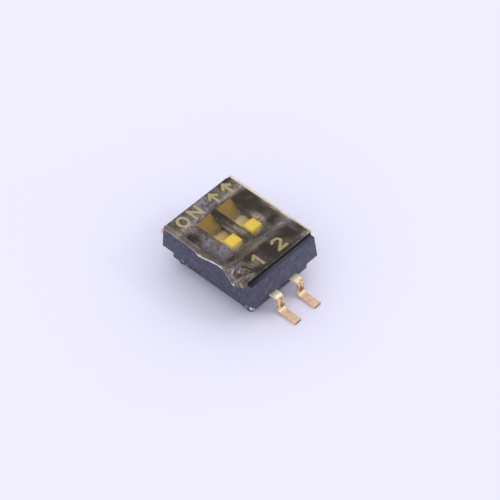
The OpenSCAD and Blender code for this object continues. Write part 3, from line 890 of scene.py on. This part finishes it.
def sheet_mesh(name, middle, thickness):
    """Closed mesh of a thin sheet around a grid of points."""
    normals = grid_normals(middle)
    rows, columns = middle.shape[:2]
    low_face = (middle - normals * thickness / 2).reshape(-1, 3)
    high_face = (middle + normals * thickness / 2).reshape(-1, 3)
    count = rows * columns
    faces = []
    for r in range(rows - 1):
        for c in range(columns - 1):
            a = r * columns + c
            quad = (a, a + 1, a + columns + 1, a + columns)
            faces.append(quad)
            faces.append(tuple(count + v for v in reversed(quad)))
    rim = [r * columns for r in range(rows)] + [(rows - 1) * columns + c for c in range(1, columns)]
    rim += [r * columns + columns - 1 for r in range(rows - 2, -1, -1)] + list(range(columns - 2, 0, -1))
    for a, b in zip(rim, rim[1:] + rim[:1]):
        faces.append((a, b, count + b, count + a))
    return mesh_from(name, np.concatenate([low_face, high_face]), faces)


def make_film(material):
    """Thin wrinkled film, loose and crumpled where it folds over the first end."""
    x, y, z, hang = film_grid()
    flat = np.stack([x, y, z], -1)
    along = np.where(hang > 0, FILM_X_FOLD + z, x)
    broad = noise_field(x, y, 1.1, 3.7, 2)
    ripple = noise_field(x * 0.6 + y * 0.5, y - x * 0.4, 0.42, 9.2, 3)
    fine = noise_field(along, y, 0.15, 21.5, 3)
    far_x, far_y = (along - CORNER[0]) / CORNER_REACH[0], (y - CORNER[1]) / CORNER_REACH[1]
    corner = np.exp(-(far_x ** 2 + far_y ** 2))
    creases = line_strength(CREASES, along, y)
    lift = film_lift(x, y, along, hang, creases, broad, ripple, fine, corner)
    middle = flat + grid_normals(flat) * (lift + FILM_GAP + FILM_T / 2)[..., None]
    middle[..., 2] += TOP
    mesh = sheet_mesh("sealing_film", middle, FILM_T)
    haze = film_haze(x, y, along, broad, ripple, fine, corner)
    whitening_and_glint = film_whitening_and_glints(x, y, hang, creases, fine)
    cool = np.clip(patches(COOL_PATCHES, x, y), -1, 1)
    for label, values in (("haze", haze), ("whitening_and_glint", whitening_and_glint), ("cool", cool)):
        attribute = mesh.attributes.new(label, "FLOAT", "POINT")
        attribute.data.foreach_set("value", np.tile(values.ravel(), 2))
    for polygon in mesh.polygons:
        polygon.use_smooth = True
    mesh.set_sharp_from_angle(angle=radians(FILM_SHARP_TURN))
    piece = new_object("sealing_film", mesh, material)
    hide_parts("sealing_tape")


def dress_contacts(material):
    """The moving contacts keep their CAD shape and get the leads' plating."""
    for node in CONTACTS:
        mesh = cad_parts[node].data
        mesh.materials.clear()
        mesh.materials.append(material)


# Half the side of the table
FLOOR_REACH = 900


def make_floor(material):
    """Large pale table under the feet."""
    far = FLOOR_REACH
    corners = [(-far, -far, 0), (far, -far, 0), (far, far, 0), (-far, far, 0)]
    floor = link("floor", mesh_from("floor", corners, [(0, 1, 2, 3)]))
    floor.data.materials.append(material)


# The lamps, in metres: how far off they are, and each one's name, azimuth, elevation, side, share of plain
# light that it adds on a facing surface, and colour
LAMP_DISTANCE = 1.0
LAMPS = (
    ("main_lamp", radians(78), radians(62), 0.6, 0.055, (1.0, 0.86, 0.62)),
    ("front_lamp", radians(39), radians(41), 0.16, 0.06, (1.0, 0.94, 0.84)),
)


def make_lamp(name, azimuth, elevation, side, brightness, colour):
    """Square soft lamp that looks at the object."""
    data = bpy.data.lights.new(name, "AREA")
    data.shape = "SQUARE"
    data.size = side
    data.color = colour
    data.energy = brightness * pi * pi * LAMP_DISTANCE ** 2
    aim(link(name, data), direction(azimuth, elevation) * LAMP_DISTANCE, Vector((0, 0, 0)))


def make_light():
    """Pale surroundings, and at the photo's right a large lamp high up and a small one lower down."""
    world = bpy.data.worlds.new("studio")
    bpy.context.scene.world = world
    n = Nodes(world)
    path = n.add("ShaderNodeLightPath")
    seen = n.math("MAXIMUM", path.outputs["Is Camera Ray"],
                  n.math("MAXIMUM", path.outputs["Is Glossy Ray"], path.outputs["Is Transmission Ray"]))
    light = n.add("ShaderNodeBackground", {"Color": rgb(0.915, 0.935, 1.0), "Strength": 1.025})
    backdrop = n.add("ShaderNodeBackground", {"Color": rgb(0.87, 0.85, 1.0), "Strength": 1.0})
    both = n.add("ShaderNodeMixShader", {0: seen, 1: light.outputs[0], 2: backdrop.outputs[0]})
    n.add("ShaderNodeOutputWorld", {"Surface": both.outputs[0]})
    for lamp in LAMPS:
        make_lamp(*lamp)


make_camera()
PLASTIC = black_plastic()
GOLD = gold_plate()
CREAM = cream_plastic()
make_housing(PLASTIC, wetted_and_shaded_plastic(), ramp_painted_sheen())
make_leads(GOLD)
make_sliders(CREAM)
make_legend(ink())
make_film(amber_film())
dress_contacts(GOLD)
make_floor(pale_floor())
make_light()
bpy.context.scene.view_settings.view_transform = "Standard"
